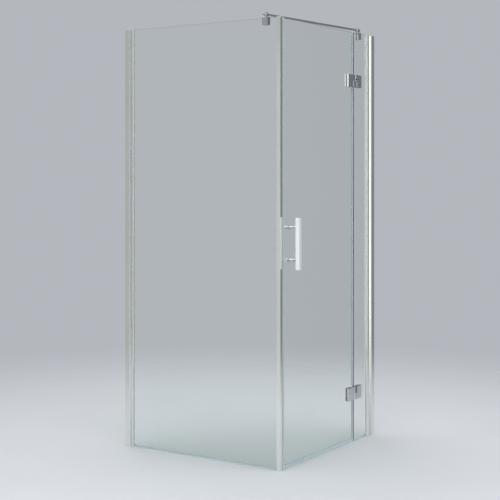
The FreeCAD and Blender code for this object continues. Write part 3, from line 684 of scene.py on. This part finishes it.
class ENCLOSURE_OT_stabiliser(Operator):
    """Stabiliser bar with its clamps, holders, pads and headless screws"""

    bl_idname = "enclosure.stabiliser"
    bl_label = "Stabiliser"

    def execute(self, context):
        sizes = context.scene.fastener_sizes
        colours = context.scene.finish_colours
        dress(["stabiliser_bar", "bar_clamps", "bar_holders"], "chrome_fittings", colours)
        dress(["clamp_pads"], "soft_gasket", colours)
        _, clamps_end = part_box("bar_clamps")
        pads_low, pads_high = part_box("clamp_pads")
        height = (pads_low.z + pads_high.z) / 2
        half_clamp = sizes.clamp_length / 2
        places = [((clamps_end.x - half_clamp, sizes.clamp_face, height), TO_PLUS_Y),
                  ((sizes.clamp_face, clamps_end.y - half_clamp, height), TO_PLUS_X)]
        screw = headless_screw(sizes.clamp_screw, sizes.headless_rise,
                               sizes.clamp_screw_socket)
        set_out(screw, "clamp_screws", places, FIXED, "pin_steel", colours)
        return {"FINISHED"}


# ---------------------------------------------------------------- the studio
# Each lamp: its name, its place, the point it shines at, its width and height, its
# watts, and whether metal and glass mirror it.
LAMPS = (
    ("softbox_above", (-1.6, -1.8, 4.6), (0.4, 0.4, 1.0), (3.2, 3.2), 35, True),
    ("softbox_left", (-2.6, -0.1, 1.2), (0, -0.1, 1.2), (2.0, 3.4), 24, False),
    ("softbox_front", (0.6, -3.2, 1.4), (0.3, 0, 1.0), (1.6, 2.4), 30, False),
)

# The lit side of the studio lies this way; the sides turn from dark to lit while a ray's
# share of that way grows from the first to the second.
LIT_WAY = (-0.72, 0.45, 0.53)
LIT_FADE = (-0.55, 0.35)

# The ceiling brightens over these shares of a ray's way up, and dims over these shares of
# its way to +X.
CEILING_UP = (0.2, 0.75)
CEILING_RIGHT = (0.45, 0.75)

# Half the width over which a bright card fades out at its sides.
CARD_FADE = math.radians(1.5)

# The floor: a disc round the middle of the enclosure, which is whole up to the first
# distance from the corner post and gone at the second.
FLOOR_MIDDLE = (0.4, 0.4, 0)
FLOOR_RADIUS = 11
FLOOR_FADE = (1.0, 4.0)


def softbox(name, place, at, size, watts, mirrored):
    """A large soft lamp of size = (wide, high) that shines at a point."""
    aim = (Vector(at) - Vector(place)).to_track_quat("-Z", "Y").to_euler()
    nothing_selected()
    bpy.ops.object.light_add(type="AREA", location=place, rotation=aim)
    lamp = bpy.context.object
    lamp.name = name
    lamp.data.shape = "RECTANGLE"
    lamp.data.size, lamp.data.size_y = size
    lamp.data.energy = watts
    lamp.visible_camera = False
    lamp.visible_glossy = mirrored
    lamp.visible_transmission = False


def upright_card(tree, direction, rise, turn, wide, top):
    """1 where a ray meets a bright card and 0 elsewhere.  Turn is the card's middle, from
    -X towards +Y, and top is its height over the horizon, as an angle."""
    ahead = add(tree, "ShaderNodeVectorMath", {
        0: direction, 1: (-math.cos(turn), math.sin(turn), 0)}, operation="DOT_PRODUCT")
    beside = add(tree, "ShaderNodeVectorMath", {
        0: direction, 1: (math.sin(turn), math.cos(turn), 0)}, operation="DOT_PRODUCT")
    away = add(tree, "ShaderNodeMath", {
        0: beside.outputs["Value"], 1: ahead.outputs["Value"]}, operation="ARCTAN2")
    off = add(tree, "ShaderNodeMath", {0: away.outputs["Value"]}, operation="ABSOLUTE")
    within = add(tree, "ShaderNodeMapRange", {
        "Value": off.outputs["Value"], "From Min": wide / 2 + CARD_FADE,
        "From Max": wide / 2 - CARD_FADE}, interpolation_type="SMOOTHSTEP")
    below = add(tree, "ShaderNodeMath", {0: rise, 1: math.sin(top)}, operation="LESS_THAN")
    return add(tree, "ShaderNodeMath", {
        0: within.outputs["Result"], 1: below.outputs["Value"]},
        operation="MULTIPLY").outputs["Value"]


def bright_parts(tree, direction, settings):
    """1 where a ray meets the bright ceiling or one of the two cards, and 0 elsewhere."""
    way = add(tree, "ShaderNodeSeparateXYZ", {"Vector": direction})
    up = add(tree, "ShaderNodeMapRange", {
        "Value": way.outputs["Z"], "From Min": CEILING_UP[0], "From Max": CEILING_UP[1]},
        interpolation_type="SMOOTHSTEP")
    left = add(tree, "ShaderNodeMapRange", {
        "Value": way.outputs["X"], "From Min": CEILING_RIGHT[1],
        "From Max": CEILING_RIGHT[0]}, interpolation_type="SMOOTHSTEP")
    bright = add(tree, "ShaderNodeMath", {
        0: up.outputs["Result"], 1: left.outputs["Result"]},
        operation="MULTIPLY").outputs["Value"]
    for turn, wide, top in (
            (settings.card_turn, settings.card_wide, settings.card_top),
            (settings.front_card_turn, settings.front_card_wide, math.pi / 2)):
        card = upright_card(tree, direction, way.outputs["Z"], turn, wide, top)
        bright = add(tree, "ShaderNodeMath", {0: bright, 1: card},
                     operation="MAXIMUM").outputs["Value"]
    return bright


def studio_world(settings):
    """Plain backdrop to the camera and through glass.  To all that mirrors it, the studio
    is lit from the left, with a ceiling that is bright except far at the right, and with
    two bright upright cards."""
    world = bpy.data.worlds.new("studio")
    bpy.context.scene.world = world
    world.use_nodes = True
    tree = world.node_tree
    tree.nodes.clear()
    direction = add(tree, "ShaderNodeTexCoord").outputs["Generated"]
    share = add(tree, "ShaderNodeVectorMath", {0: direction, 1: LIT_WAY},
                operation="DOT_PRODUCT")
    lit = add(tree, "ShaderNodeMapRange", {
        "Value": share.outputs["Value"], "From Min": LIT_FADE[0], "From Max": LIT_FADE[1]},
        interpolation_type="SMOOTHSTEP")
    sides = add(tree, "ShaderNodeMix", {
        "Factor": lit.outputs["Result"], "A": rgba(settings.dark_side),
        "B": rgba(settings.lit_side)}, data_type="RGBA")
    room = add(tree, "ShaderNodeMix", {
        "Factor": bright_parts(tree, direction, settings), "A": sides.outputs["Result"],
        "B": rgba([settings.glow * part for part in settings.ceiling])}, data_type="RGBA")
    rays = add(tree, "ShaderNodeLightPath")
    # A depth under one half is none: the ray was never mirrored.
    unmirrored = add(tree, "ShaderNodeMath", {0: rays.outputs["Glossy Depth"], 1: 0.5},
                     operation="LESS_THAN")
    through = add(tree, "ShaderNodeMath", {
        0: rays.outputs["Is Transmission Ray"], 1: unmirrored.outputs["Value"]},
        operation="MULTIPLY")
    seen = add(tree, "ShaderNodeMath", {
        0: rays.outputs["Is Camera Ray"], 1: through.outputs["Value"]},
        operation="MAXIMUM")
    colour = add(tree, "ShaderNodeMix", {
        "Factor": seen.outputs["Value"], "A": room.outputs["Result"],
        "B": rgba(settings.backdrop)}, data_type="RGBA")
    light = add(tree, "ShaderNodeBackground",
                {"Color": colour.outputs["Result"], "Strength": 1.0})
    add(tree, "ShaderNodeOutputWorld", {"Surface": light.outputs["Background"]})


def painted_studio_floor(name, colour):
    """Smooth matt floor paint with a faint mottle, which fades out far from the corner."""
    material, tree = new_material(name)
    mottle = stretched_noise(tree, (400 * MM, 400 * MM, 400 * MM), detail=4.0)
    paint = add(tree, "ShaderNodeBsdfPrincipled", patterned(
        tree, mottle, shade=(colour, 0.985), roughness=(0.5, 0.6)))
    place = add(tree, "ShaderNodeTexCoord").outputs["Object"]
    far = add(tree, "ShaderNodeVectorMath", {0: place}, operation="LENGTH")
    edge = add(tree, "ShaderNodeMapRange", {
        "Value": far.outputs["Value"], "From Min": FLOOR_FADE[0],
        "From Max": FLOOR_FADE[1]}, interpolation_type="SMOOTHSTEP")
    gone = add(tree, "ShaderNodeBsdfTransparent")
    mixed = add(tree, "ShaderNodeMixShader", {
        0: edge.outputs["Result"], 1: paint.outputs["BSDF"], 2: gone.outputs["BSDF"]})
    add(tree, "ShaderNodeOutputMaterial", {"Surface": mixed.outputs["Shader"]})
    return material


def studio_floor(settings):
    """A wide pale disc that fades into the backdrop."""
    nothing_selected()
    bpy.ops.mesh.primitive_circle_add(vertices=96, radius=FLOOR_RADIUS, fill_type="NGON",
                                      location=FLOOR_MIDDLE)
    floor = bpy.context.object
    floor.name = "studio_floor"
    settle(floor)
    floor.data.materials.append(painted_studio_floor("pale_studio_floor", settings.floor))


def studio_camera(settings):
    """Level camera whose lens is shifted, so that uprights stay upright in the picture."""
    nothing_selected()
    bpy.ops.object.camera_add(location=settings.camera_place,
                              rotation=(math.pi / 2, 0, -settings.camera_turn))
    camera = bpy.context.object
    camera.name = "camera"
    camera.data.sensor_width = 36
    camera.data.lens = settings.lens
    camera.data.shift_y = settings.camera_rise
    camera.data.clip_end = 100
    bpy.context.scene.camera = camera


class ENCLOSURE_OT_studio(Operator):
    """Pale floor, plain backdrop, soft lamps and the camera"""

    bl_idname = "enclosure.studio"
    bl_label = "Studio"

    def execute(self, context):
        settings = context.scene.studio_settings
        studio_world(settings)
        studio_floor(settings)
        for lamp in LAMPS:
            softbox(*lamp)
        studio_camera(settings)
        context.scene.view_settings.view_transform = "Standard"
        return {"FINISHED"}


# ---------------------------------------------------------------- add-on
OPERATORS = (ENCLOSURE_OT_glass, ENCLOSURE_OT_profiles, ENCLOSURE_OT_screw_covers,
             ENCLOSURE_OT_strips, ENCLOSURE_OT_hinges, ENCLOSURE_OT_handle,
             ENCLOSURE_OT_stabiliser, ENCLOSURE_OT_studio)


class VIEW3D_PT_enclosure(Panel):
    """Steps and settings of the enclosure"""

    bl_idname = "VIEW3D_PT_enclosure"
    bl_label = "Shower enclosure"
    bl_space_type = "VIEW_3D"
    bl_region_type = "UI"
    bl_category = "Enclosure"

    def draw(self, context):
        for operator in OPERATORS:
            self.layout.operator(operator.bl_idname)
        for group in (context.scene.fastener_sizes, context.scene.finish_colours,
                      context.scene.studio_settings):
            box = self.layout.box()
            for name in group.bl_rna.properties.keys():
                if name not in ("rna_type", "name"):
                    box.prop(group, name)


CLASSES = (FastenerSizes, FinishColours, StudioSettings, *OPERATORS, VIEW3D_PT_enclosure)


def register():
    for each in CLASSES:
        bpy.utils.register_class(each)
    bpy.types.Scene.fastener_sizes = PointerProperty(type=FastenerSizes)
    bpy.types.Scene.finish_colours = PointerProperty(type=FinishColours)
    bpy.types.Scene.studio_settings = PointerProperty(type=StudioSettings)


def unregister():
    del bpy.types.Scene.studio_settings
    del bpy.types.Scene.finish_colours
    del bpy.types.Scene.fastener_sizes
    for each in reversed(CLASSES):
        bpy.utils.unregister_class(each)


def main():
    register()
    for operator in OPERATORS:
        name = operator.bl_idname.split(".")[1]
        getattr(bpy.ops.enclosure, name)()
    nothing_selected()


if __name__ == "__main__":
    main()
